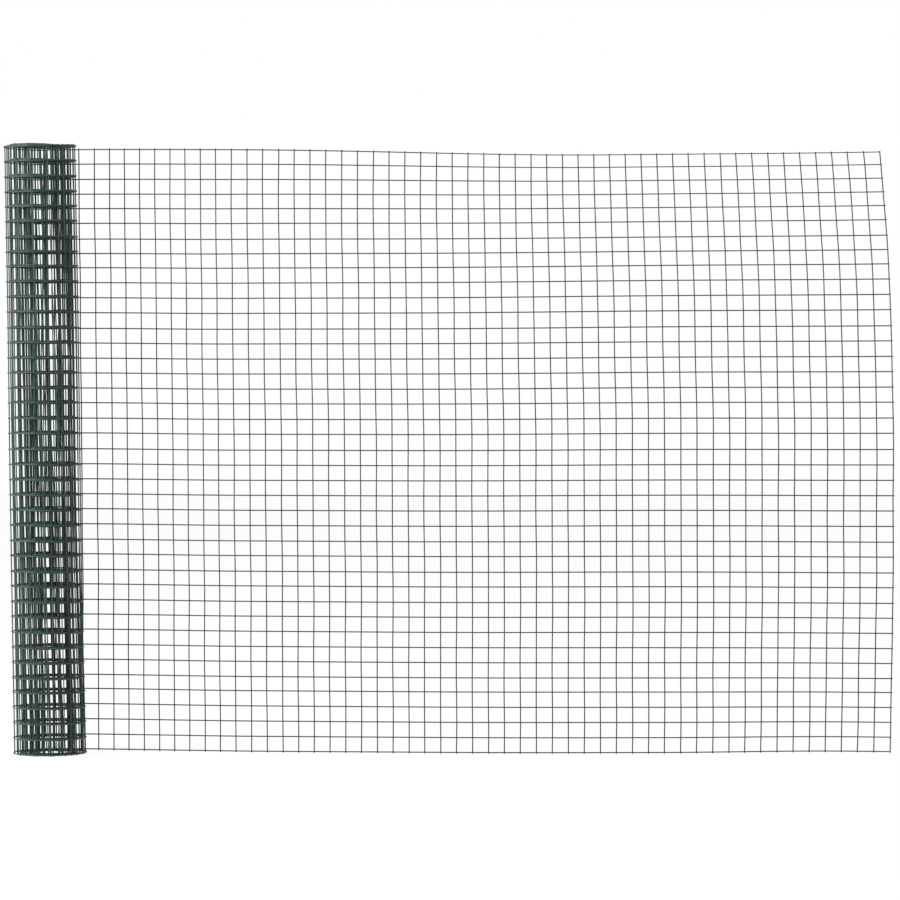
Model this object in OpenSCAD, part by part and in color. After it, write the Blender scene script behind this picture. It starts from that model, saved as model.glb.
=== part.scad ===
// Roll of welded wire fencing with a loose run pulled off it, standing on its end.
// The origin is on the roll's axis at the floor, and +Z is up. The run leaves the back of
// the roll towards +X and -Y. It springs out of flat: its middle comes forward, and its top
// edge and its far foot curl back. The line wires lie on the outer side of the fencing.

/* [Mesh] */
// Thickness of a wire over its plastic coat
wire_d = 1.9; // [1:0.05:2.2]
// Distance between the line wires, which run the length of the fencing
line_pitch = 25; // [15:1:60]
// Number of line wires across the fencing
line_count = 41; // [5:1:41]
// Distance between the cross wires, which run from edge to edge
cross_pitch = 26.4; // [24:0.1:60]
// Depth that two wires are pressed into each other where they are welded
weld_set = 0.3; // [0.1:0.05:0.5]
// Length of wire left past the outermost wire at every edge
end_stub = 1; // [0.5:0.5:6]

/* [Roll] */
// Outer diameter of the roll
roll_d = 122; // [105:1:240]
// Number of turns that show on the ends of the roll
turn_count = 10; // [2:1:11]
// Distance from one turn to the next
turn_pitch = 4.3; // [4.2:0.1:5.6]
// Depth of the gaps between the turns at each end of the roll
turn_gap_depth = 12; // [4:1:40]
// Room between the start of the run and the turn beneath it
run_clearance = 0.3; // [0.1:0.1:1]

/* [Loose run] */
// Distance from where the run leaves the roll to its first cross wire
first_cross_x = 19.3; // [2:0.1:26]
// Number of cross wires in the run
run_crosses = 53; // [12:1:54]
// Angle that the run is swung to the front about the roll's axis
run_swing = 3.5; // [0:0.5:10]
// Distance that the run comes forward soon after it leaves the roll
near_bow = 22.5; // [0:0.5:40]
// Distance that it comes further forward by its free end
far_bow = 20.5; // [0:0.5:40]
// Distance that the top edge curls back
top_curl = 75; // [0:1:100]
// Distance that the foot curls back at the free end
foot_curl = 48.5; // [0:0.5:100]

/* [Hidden] */
NODES = [
    "roll",
    "run_length_1",
    "run_length_2",
    "run_length_3",
    "run_length_4",
    "run_length_5",
    "run_length_6"
];

length_count = len(NODES) - 1;
round_sides = 96;
cut_margin = 1;
coat_green = [0.17, 0.24, 0.21];

mesh_thickness = 2 * wire_d - weld_set;
mesh_height = (line_count - 1) * line_pitch + wire_d + 2 * end_stub;
lowest_line_z = end_stub + wire_d / 2;

roll_r = roll_d / 2;
turn_gap = turn_pitch - mesh_thickness;
bore_r = roll_r - mesh_thickness - (turn_count - 1) * turn_pitch;
seat_r = roll_r - mesh_thickness - run_clearance;

line_y = roll_r - wire_d / 2;
cross_y = line_y - wire_d + weld_set;
clear_x = sqrt(roll_r * roll_r - seat_r * seat_r);
run_end_x = cross_x(run_crosses) + wire_d / 2 + end_stub;

// Shares of the run's length at which each bend starts or is full
near_bow_full = 0.25;
top_curl_full = 0.67;
foot_curl_from = 0.46;
// Share of the run's height that stands furthest forward
belly_share = 0.59;
// How late each bend grows: 1 would be even
far_bow_power = 5;
top_curl_power = 2.8;
foot_curl_power = 2;

// Place of a cross wire along the run, counted from 1
function cross_x(number) = first_cross_x + (number - 1) * cross_pitch;

// Height of a line wire, counted from 0
function line_z(row) = lowest_line_z + row * line_pitch;

// The lengths share the cross wires out as evenly as they can
function last_cross(index) = floor(index * run_crosses / length_count);

// Each length starts and ends midway between two cross wires, apart from the run's two ends
function length_start_x(index) =
    index == 1 ? 0 : cross_x(last_cross(index - 1) + 1) - cross_pitch / 2;
function length_end_x(index) =
    index == length_count ? run_end_x : length_start_x(index + 1);

// Rises smoothly from 0 to 1 as the share goes from 0 to 1
function ease(share) =
    let (held = min(max(share, 0), 1))
    held * held * (3 - 2 * held);

// How far the run stands forward of flat, at a place along it and a height
function forward(x, z) =
    let (
        along = max(x - clear_x, 0) / (run_end_x - clear_x),
        above = max(z / mesh_height - belly_share, 0) / (1 - belly_share),
        below = max(belly_share - z / mesh_height, 0) / belly_share
    )
    near_bow * ease(along / near_bow_full)
    + far_bow * pow(along, far_bow_power)
    - top_curl * ease(along / top_curl_full) * pow(above, top_curl_power)
    - foot_curl * ease((along - foot_curl_from) / (1 - foot_curl_from))
        * pow(below, foot_curl_power);

// Outline of a wire along a row of points, half its thickness to each side of them
module wire_outline(points, aside) {
    polygon(concat(
        [for (point = points) point + aside],
        [for (i = [len(points) - 1 : -1 : 0]) points[i] - aside]
    ));
}

// One line wire of the run, level from one place along it to the next
module line_wire(places, z) {
    translate([0, 0, z - wire_d / 2])
        linear_extrude(wire_d)
            wire_outline([for (x = places) [x, line_y - forward(x, z)]], [0, wire_d / 2]);
}

// One cross wire of the run, bent at every line wire
module cross_wire(x) {
    levels = concat([0], [for (row = [0 : line_count - 1]) line_z(row)], [mesh_height]);
    translate([x - wire_d / 2, 0, 0])
        rotate([90, 0, 90])
            linear_extrude(wire_d)
                wire_outline([for (z = levels) [cross_y - forward(x, z), z]], [wire_d / 2, 0]);
}

// Half section of the wound turns, with the gaps between them open at both ends
module turns_section() {
    difference() {
        translate([bore_r, 0])
            square([roll_r - bore_r, mesh_height]);
        for (turn = [1 : turn_count - 1])
            for (gap_z = [-cut_margin, mesh_height - turn_gap_depth])
                translate([roll_r - turn * turn_pitch, gap_z])
                    square([turn_gap, turn_gap_depth + cut_margin]);
    }
}

// The wound turns, cut away behind where the outer turn leaves them as the run
module roll() {
    color(coat_green)
        difference() {
            rotate_extrude($fn = round_sides)
                turns_section();
            rotate([0, 0, -run_swing])
                translate([0, seat_r, -cut_margin])
                    cube([roll_r, roll_r, mesh_height + 2 * cut_margin]);
        }
}

// One length of the run: line wires butted to the next length, and its own cross wires
module run_length(index) {
    crosses = [for (number = [last_cross(index - 1) + 1 : last_cross(index)]) cross_x(number)];
    places = concat([length_start_x(index)], crosses, [length_end_x(index)]);
    color(coat_green)
        rotate([0, 0, -run_swing])
            union() {
                for (row = [0 : line_count - 1])
                    line_wire(places, line_z(row));
                for (x = crosses)
                    cross_wire(x);
            }
}

roll();
run_length(1);  // run_length_1
run_length(2);  // run_length_2
run_length(3);  // run_length_3
run_length(4);  // run_length_4
run_length(5);  // run_length_5
run_length(6);  // run_length_6
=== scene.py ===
"""A roll of green coated welded wire fencing with a loose run pulled off it, standing on its end."""
import random
from math import cos, pi, radians, sin

import bmesh
import bpy
from mathutils import Matrix, Vector, noise


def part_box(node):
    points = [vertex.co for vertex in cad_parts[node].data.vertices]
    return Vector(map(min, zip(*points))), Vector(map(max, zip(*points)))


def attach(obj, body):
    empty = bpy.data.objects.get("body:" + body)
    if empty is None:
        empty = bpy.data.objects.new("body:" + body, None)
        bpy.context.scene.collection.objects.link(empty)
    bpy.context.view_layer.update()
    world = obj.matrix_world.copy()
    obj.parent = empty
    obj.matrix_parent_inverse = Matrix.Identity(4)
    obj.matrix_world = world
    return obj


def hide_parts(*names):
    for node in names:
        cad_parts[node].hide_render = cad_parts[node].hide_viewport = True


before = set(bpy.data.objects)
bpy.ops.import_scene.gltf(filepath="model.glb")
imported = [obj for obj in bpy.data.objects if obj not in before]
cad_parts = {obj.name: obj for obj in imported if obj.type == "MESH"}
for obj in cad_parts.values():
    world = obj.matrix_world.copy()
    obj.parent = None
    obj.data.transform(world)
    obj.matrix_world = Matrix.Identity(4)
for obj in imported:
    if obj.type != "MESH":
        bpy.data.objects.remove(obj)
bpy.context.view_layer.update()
unevenness = random.Random(41)


# Wound line wires
# The long wires of the fencing, drawn steel under a skin of green plastic. Forty-one of them
# lie side by side on the outer face of the mesh and are wound up with it into the roll, the
# outer turn loose at the left and drawn in at the right.
wire_r = 0.001
wire_sides = 8
weld_half = 0.0008
line_count = 41
line_pitch = 0.025
line_drift = 0.0008
line_stray = 0.00045
lowest_line = 0.00195
cross_pitch = 0.0264
first_cross = 0.0193
steps_per_cell = 3
wire_step = cross_pitch / steps_per_cell
run_start = first_cross - 2 * wire_step

mesh_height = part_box("roll")[1].z
run_swing = radians(3.5)
roll_r = 0.05925
roll_lean = 0.013
drawn_in = 0.0018
turns = 8.6
turn_pitch = 0.0046
tight_turn = 1.2
bundle_r = 0.0555
bundle_foot = 0.0015
bundle_aside = 0.0014
bundle_foot_aside = 0.0026
telescoped = 0.006
creep_noise = 8.1
dent_depth = 0.0009
middle_lift = 0.0023
edge_warp = 0.0013
top_rise = 0.0007
back_rise = 0.0022


def ease(value, start, end):
    """Rises smoothly from 0 at start to 1 at end."""
    share = min(max((value - start) / (end - start), 0.0), 1.0)
    return share * share * (3 - 2 * share)


def turn_radius(turned, up):
    """Radius of the spiral after it has turned that far back from where the run leaves it."""
    turn = turned / (2 * pi)
    outer_turn = roll_r - drawn_in * ease(up, -0.05, 0.3) * ease(turn, 0.35, 0.75)
    bundle = bundle_r + bundle_foot * ease(up, 0.4, 0.0) - turn_pitch * max(turn - tight_turn, 0.0)
    return outer_turn + (bundle - outer_turn) * ease(turn, 0.78, 1.5)


def lift(up):
    """How far the fencing stands above its level where it comes off the roll."""
    return middle_lift * (1 - (2 * up / mesh_height - 1) ** 2)


def wind(turned, out, up):
    """A point of the wound fencing: how far it is turned, how far out from the mesh, how high."""
    angle = pi / 2 - run_swing + turned
    dent = dent_depth * noise.noise(Vector((cos(angle), sin(angle), up * 2.2)))
    reach = turn_radius(turned, up) + out + dent * ease(turned, 0.0, 2.0)
    lean = roll_lean * (up - mesh_height / 2)
    aside = bundle_aside + bundle_foot_aside * ease(up, 0.45, 0.0)
    aside *= ease(turned, 1.56 * pi, 2.5 * pi)
    creep = noise.noise(Vector((turned * 0.35, creep_noise, up * 0.5)))
    creep = min(max(0.5 + creep, 0.0), 1.0)
    warp = edge_warp * (1 + cos(angle) + cos(2 * angle)) * ease(turned, 9.0, 4.5)
    high = up + telescoped * creep * ease(up, 0.0, 0.4) * ease(turned, 4.5, 9.0)
    high += lift(up) * ease(turned, 9.0, 0.0)
    high += (warp + top_rise + back_rise * sin(angle)) * ease(up, 0.4, 1.0)
    return Vector((reach * cos(angle) + aside - lean, reach * sin(angle), high))


def straight_wire(length, steps):
    """One wire along +Z from the origin, in even steps that let it bend."""
    wire = bmesh.new()
    bmesh.ops.create_cone(wire, cap_ends=True, segments=wire_sides, radius1=wire_r,
                          radius2=wire_r, depth=length)
    sides = [edge for edge in wire.edges
             if abs(edge.verts[0].co.z - edge.verts[1].co.z) > length / 2]
    bmesh.ops.subdivide_edges(wire, edges=sides, cuts=steps - 1, use_grid_fill=True)
    bmesh.ops.translate(wire, verts=wire.verts, vec=(0, 0, length / 2))
    for face in wire.faces:
        face.smooth = len(face.verts) == 4
    return wire


def lay_sideways(wire):
    """Turns a wire from +Z to +X."""
    bmesh.ops.rotate(wire, verts=wire.verts, matrix=Matrix.Rotation(pi / 2, 3, "Y"))


def repeat(wires, places):
    """Copies what is there to each place, and returns the points of each copy."""
    first = wires.verts[:] + wires.edges[:] + wires.faces[:]
    groups = [wires.verts[:]]
    for _ in places[1:]:
        made = bmesh.ops.duplicate(wires, geom=first)["geom"]
        groups.append([part for part in made if isinstance(part, bmesh.types.BMVert)])
    for group, place in zip(groups, places):
        bmesh.ops.translate(wires, verts=group, vec=place)
    return groups


def finished(wires, name, *nodes):
    """Makes the piece, set on the body and standing for its solids."""
    bmesh.ops.recalc_face_normals(wires, faces=wires.faces)
    mesh = bpy.data.meshes.new(name)
    wires.to_mesh(mesh)
    wires.free()
    piece = bpy.data.objects.new(name, mesh)
    bpy.context.scene.collection.objects.link(piece)
    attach(piece, "root")
    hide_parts(*nodes)
    return piece


line_heights = []
for row in range(line_count):
    level = lowest_line + row * line_pitch
    drift = line_drift * sin(pi * (level - mesh_height / 2) / (mesh_height / 2))
    stray = 0.0 if row in (0, line_count - 1) else unevenness.gauss(0, line_stray)
    line_heights.append(level + drift + stray)

wound_angles = [-run_start / roll_r]
while wound_angles[-1] < 2 * pi * turns:
    radius = turn_radius(wound_angles[-1], mesh_height / 2)
    wound_angles.append(wound_angles[-1] + wire_step / radius)

wound_steps = len(wound_angles) - 1
wires = straight_wire(wound_steps * wire_step, wound_steps)
lay_sideways(wires)
repeat(wires, [(0, weld_half, height) for height in line_heights])
for point in wires.verts:
    point.co = wind(wound_angles[round(point.co.x / wire_step)], point.co.y, point.co.z)
wound_lines = finished(wires, "wound_line_wires", "roll")


# Wound cross wires
# The short wires that run from edge to edge of the fencing, welded across the inner side of
# the line wires. On the roll they stand upright, turn behind turn, and slip out of line.
cross_steps = 80
wound_crosses = wound_angles[1::steps_per_cell]
shared_sway = 0.0003
shared_wave = 0.25
shared_phase = 0.9
own_sway = 0.00022
own_wave = 0.17
slack_per_turn = 0.0015
tilt_most = 0.04
tilt_noise = 45.4
bow_most = 0.006
bow_noise = 28.1


def sway(up, phase):
    """How far a cross wire strays sideways at that height."""
    return (shared_sway * sin(2 * pi * up / shared_wave + shared_phase)
            + own_sway * sin(2 * pi * up / own_wave + phase))


def slip(turned, up):
    """How far a wound cross wire has slipped along its turn at that height."""
    slack = slack_per_turn * turned / (2 * pi)
    tilt = tilt_most * noise.noise(Vector((turned * 0.5, tilt_noise, 0.0))) * (up - mesh_height / 2)
    bow = bow_most * noise.noise(Vector((turned * 0.7, bow_noise, up * 1.6)))
    return (slack + tilt + bow) * ease(turned, 0.3, 2.5)


def wind_crosses(groups, phases):
    """Bends each upright row of points round the roll at its own angle."""
    for group, turned, phase in zip(groups, wound_crosses, phases):
        for point in group:
            up = point.co.z
            aside = point.co.x + sway(up, phase) + slip(turned, up)
            point.co = wind(turned - aside / turn_radius(turned, up), point.co.y, up)


wound_phases = [unevenness.uniform(0, 2 * pi) for _ in wound_crosses]
wires = straight_wire(mesh_height, cross_steps)
wind_crosses(repeat(wires, [(0, -weld_half, 0) for _ in wound_crosses]), wound_phases)
wound_uprights = finished(wires, "wound_cross_wires", "roll")


# Line wires of the loose run
# The same forty-one wires where the fencing has been pulled off the roll. The mesh still
# springs: its top edge curls back, its middle comes forward and its far foot turns back.
run_lengths = [f"run_length_{number}" for number in range(1, 7)]
run_crosses = 53
end_stub = 0.001
run_length = first_cross + (run_crosses - 1) * cross_pitch + wire_r + end_stub
clear_of_roll = 0.0212
belly_share = 0.59
near_bow = 0.0225
far_bow = 0.0205
far_bow_power = 5
top_curl = 0.075
top_curl_power = 2.8
foot_curl = 0.0485
foot_curl_power = 2
near_share = 0.22
near_top_rise = 0.003
near_reach = 0.003
far_foot_rise = 0.003
middle_sag = 0.0022
top_pull = 0.0167
foot_pull = 0.0054
run_lean = 0.0064
lean_lost = 0.0049


def shortening(curl, power, height):
    """How much lower a strip of that height ends once it curls back that far."""
    return (power * curl) ** 2 / (2 * (2 * power - 1) * height)


def lay(along, out, up):
    """A point of the loose run: how far it is from the roll, how far out from the mesh, how high."""
    share = max(along - clear_of_roll, 0.0) / (run_length - clear_of_roll)
    near = ease(share, near_share, 0.0)
    above = max(up / mesh_height - belly_share, 0.0) / (1 - belly_share)
    below = max(belly_share - up / mesh_height, 0.0) / belly_share
    middle = up - mesh_height / 2
    from_middle = (2 * middle / mesh_height) ** 2

    top = top_curl * ease(share, 0.0, 0.67)
    foot = foot_curl * ease(share, 0.46, 1.0)
    forward = near_bow * ease(share, 0.0, 0.25) + far_bow * share ** far_bow_power
    forward -= top * above ** top_curl_power + foot * below ** foot_curl_power

    sunk = shortening(top, top_curl_power, (1 - belly_share) * mesh_height)
    sunk *= above ** (2 * top_curl_power - 1)
    foot_sunk = shortening(foot, foot_curl_power, belly_share * mesh_height)
    sunk += foot_sunk * (1 - below ** (2 * foot_curl_power - 1))
    sunk += middle_sag * sin(pi * min(share, 1.0)) ** 4 * (1 - from_middle)
    risen = near * (lift(up) + near_top_rise * ease(up, 0.3, 1.0))
    risen += far_foot_rise * ease(share, 0.72, 0.95) * below ** 4

    lean = run_lean - lean_lost * share + (roll_lean - run_lean) * ease(along, 0.05, 0.0)
    pull = top_pull if middle > 0 else foot_pull
    x = along + near_reach * near * ease(along, 0.0, first_cross) * ease(up, -0.2, 0.4)
    x -= lean * middle + pull * share * from_middle
    y = roll_r + out - forward
    return Vector((x * cos(run_swing) + y * sin(run_swing),
                   y * cos(run_swing) - x * sin(run_swing), up - sunk + risen))


run_steps = steps_per_cell * run_crosses
wires = straight_wire(run_steps * wire_step, run_steps)
lay_sideways(wires)
repeat(wires, [(run_start, weld_half, height) for height in line_heights])
for point in wires.verts:
    point.co = lay(min(point.co.x, run_length), point.co.y, point.co.z)
run_lines = finished(wires, "run_line_wires", *run_lengths)


# Cross wires of the loose run
# Fifty-three upright wires from edge to edge of the run. They lie on its front, and their
# ends stand a millimetre past the outermost line wires.
cross_stray = 0.00013
run_places = [first_cross + number * cross_pitch + unevenness.gauss(0, cross_stray)
              for number in range(run_crosses)]
run_phases = [unevenness.uniform(0, 2 * pi) for _ in run_places]


def lay_crosses(groups):
    """Bends each upright row of points with the run at its own place."""
    for group, phase in zip(groups, run_phases):
        for point in group:
            point.co = lay(point.co.x + sway(point.co.z, phase), point.co.y, point.co.z)


wires = straight_wire(mesh_height, cross_steps)
lay_crosses(repeat(wires, [(place, -weld_half, 0) for place in run_places]))
run_uprights = finished(wires, "run_cross_wires", *run_lengths)


# Welded joints
# Each crossing is spot welded before the mesh is dipped, and the plastic runs together there
# into a small rounded lump that fills the corners between the two wires.
joint_r = 0.0015
joint_depth = 0.0012
joint_rings = 4
wound_joint_sides = 6
run_joint_sides = 8


def joints(places, sides):
    """One lump of coat at each place along the fencing, for every line wire."""
    lumps = bmesh.new()
    bmesh.ops.create_uvsphere(lumps, u_segments=sides, v_segments=joint_rings, radius=joint_r)
    bmesh.ops.rotate(lumps, verts=lumps.verts, matrix=Matrix.Rotation(pi / 2, 3, "X"))
    bmesh.ops.scale(lumps, verts=lumps.verts, vec=(1, joint_depth / joint_r, 1))
    for face in lumps.faces:
        face.smooth = True
    repeat(lumps, [(0, 0, height) for height in line_heights])
    return lumps, repeat(lumps, [(place, 0, 0) for place in places])


lumps, groups = joints([0] * len(wound_crosses), wound_joint_sides)
wind_crosses(groups, wound_phases)
wound_joints = finished(lumps, "wound_joints", "roll")

lumps, groups = joints(run_places, run_joint_sides)
lay_crosses(groups)
run_joints = finished(lumps, "run_joints", *run_lengths)


# Green plastic coat
# Soft PVC over galvanised wire: a dark bottle green, satin where it was drawn smooth and
# duller where the coat is uneven, with a pale bloom of dust and scuffs.
dark_green = (0.0115, 0.0255, 0.0195, 1)
light_green = (0.028, 0.064, 0.049, 1)
dust_green = (0.10, 0.14, 0.125, 1)
coat = bpy.data.materials.new("green_plastic_coat")
coat.use_nodes = True
nodes = coat.node_tree.nodes
links = coat.node_tree.links
shader = nodes["Principled BSDF"]
shader.inputs["Specular IOR Level"].default_value = 0.35
place = nodes.new("ShaderNodeTexCoord")

patches = nodes.new("ShaderNodeTexNoise")
patches.inputs["Scale"].default_value = 38.0
patches.inputs["Detail"].default_value = 3.0
links.new(place.outputs["Object"], patches.inputs["Vector"])
tint = nodes.new("ShaderNodeValToRGB")
tint.color_ramp.elements[0].position = 0.32
tint.color_ramp.elements[0].color = dark_green
tint.color_ramp.elements[1].position = 0.70
tint.color_ramp.elements[1].color = light_green
links.new(patches.outputs["Fac"], tint.inputs["Fac"])

scuffs = nodes.new("ShaderNodeTexNoise")
scuffs.inputs["Scale"].default_value = 420.0
scuffs.inputs["Detail"].default_value = 4.0
links.new(place.outputs["Object"], scuffs.inputs["Vector"])
bloom = nodes.new("ShaderNodeMapRange")
bloom.inputs["From Min"].default_value = 0.55
bloom.inputs["From Max"].default_value = 0.80
bloom.inputs["To Max"].default_value = 0.35
links.new(scuffs.outputs["Fac"], bloom.inputs["Value"])
dusted = nodes.new("ShaderNodeMix")
dusted.data_type = "RGBA"
dusted.inputs["B"].default_value = dust_green
links.new(bloom.outputs["Result"], dusted.inputs["Factor"])
links.new(tint.outputs["Color"], dusted.inputs["A"])
links.new(dusted.outputs["Result"], shader.inputs["Base Color"])

satin = nodes.new("ShaderNodeMapRange")
satin.inputs["To Min"].default_value = 0.32
satin.inputs["To Max"].default_value = 0.62
links.new(scuffs.outputs["Fac"], satin.inputs["Value"])
links.new(satin.outputs["Result"], shader.inputs["Roughness"])

ripple = nodes.new("ShaderNodeBump")
ripple.inputs["Strength"].default_value = 0.25
ripple.inputs["Distance"].default_value = 0.0002
links.new(scuffs.outputs["Fac"], ripple.inputs["Height"])
links.new(ripple.outputs["Normal"], shader.inputs["Normal"])

for piece in (wound_lines, wound_uprights, run_lines, run_uprights, wound_joints, run_joints):
    piece.data.materials.append(coat)


# Studio
# A white floor under a white surround, one large soft lamp at the left and a weaker one at
# the right, and a long lens level with the middle of the fencing.
floor_half = 30.0
sheet = bmesh.new()
bmesh.ops.create_grid(sheet, x_segments=1, y_segments=1, size=floor_half)
floor_mesh = bpy.data.meshes.new("floor")
sheet.to_mesh(floor_mesh)
sheet.free()
floor = bpy.data.objects.new("floor", floor_mesh)
bpy.context.scene.collection.objects.link(floor)


def seen_directly(tree):
    """1 where the camera, a reflection or a see-through piece looks at the surround."""
    rays = tree.nodes.new("ShaderNodeLightPath")
    either = tree.nodes.new("ShaderNodeMath")
    either.operation = "MAXIMUM"
    tree.links.new(rays.outputs["Is Camera Ray"], either.inputs[0])
    tree.links.new(rays.outputs["Is Glossy Ray"], either.inputs[1])
    every = tree.nodes.new("ShaderNodeMath")
    every.operation = "MAXIMUM"
    tree.links.new(either.outputs["Value"], every.inputs[0])
    tree.links.new(rays.outputs["Is Transmission Ray"], every.inputs[1])
    return every.outputs["Value"]


paper = bpy.data.materials.new("white_paper")
paper.use_nodes = True
tree = paper.node_tree
tree.nodes.remove(tree.nodes["Principled BSDF"])
matt = tree.nodes.new("ShaderNodeBsdfDiffuse")
matt.inputs["Color"].default_value = (0.9, 0.9, 0.9, 1)
glow = tree.nodes.new("ShaderNodeEmission")
glow.inputs["Strength"].default_value = 1.03
share = tree.nodes.new("ShaderNodeMath")
share.operation = "MULTIPLY"
share.inputs[1].default_value = 0.9
tree.links.new(seen_directly(tree), share.inputs[0])
blend = tree.nodes.new("ShaderNodeMixShader")
tree.links.new(share.outputs["Value"], blend.inputs["Fac"])
tree.links.new(matt.outputs["BSDF"], blend.inputs[1])
tree.links.new(glow.outputs["Emission"], blend.inputs[2])
tree.links.new(blend.outputs["Shader"], tree.nodes["Material Output"].inputs["Surface"])
floor_mesh.materials.append(paper)

world = bpy.data.worlds.new("surround")
world.use_nodes = True
bpy.context.scene.world = world
tree = world.node_tree
fill = tree.nodes.new("ShaderNodeMapRange")
fill.inputs["To Min"].default_value = 0.55
fill.inputs["To Max"].default_value = 1.0
tree.links.new(seen_directly(tree), fill.inputs["Value"])
tree.nodes["Background"].inputs["Color"].default_value = (1, 1, 1, 1)
tree.links.new(fill.outputs["Result"], tree.nodes["Background"].inputs["Strength"])


def soft_lamp(name, place, aim, size, power):
    """A square soft lamp that faces a point."""
    data = bpy.data.lights.new(name, "AREA")
    data.size = size
    data.energy = power
    lamp = bpy.data.objects.new(name, data)
    lamp.location = place
    lamp.rotation_euler = (Vector(aim) - Vector(place)).to_track_quat("-Z", "Y").to_euler()
    bpy.context.scene.collection.objects.link(lamp)


soft_lamp("left_lamp", place=(-3.0, -2.0, 2.0), aim=(0.2, 0.0, 0.5), size=1.8, power=270)
soft_lamp("right_lamp", place=(3.4, -3.0, 2.6), aim=(0.8, 0.0, 0.5), size=1.8, power=28)

lens = bpy.data.cameras.new("camera")
lens.sensor_width = 36
lens.lens = 121.27
camera = bpy.data.objects.new("camera", lens)
camera.location = (0.8312, -4.9968, 0.505)
camera.rotation_euler = (radians(90 - 0.0545), radians(0.183), radians(1.842))
bpy.context.scene.collection.objects.link(camera)
bpy.context.scene.camera = camera
bpy.context.scene.view_settings.view_transform = "Standard"
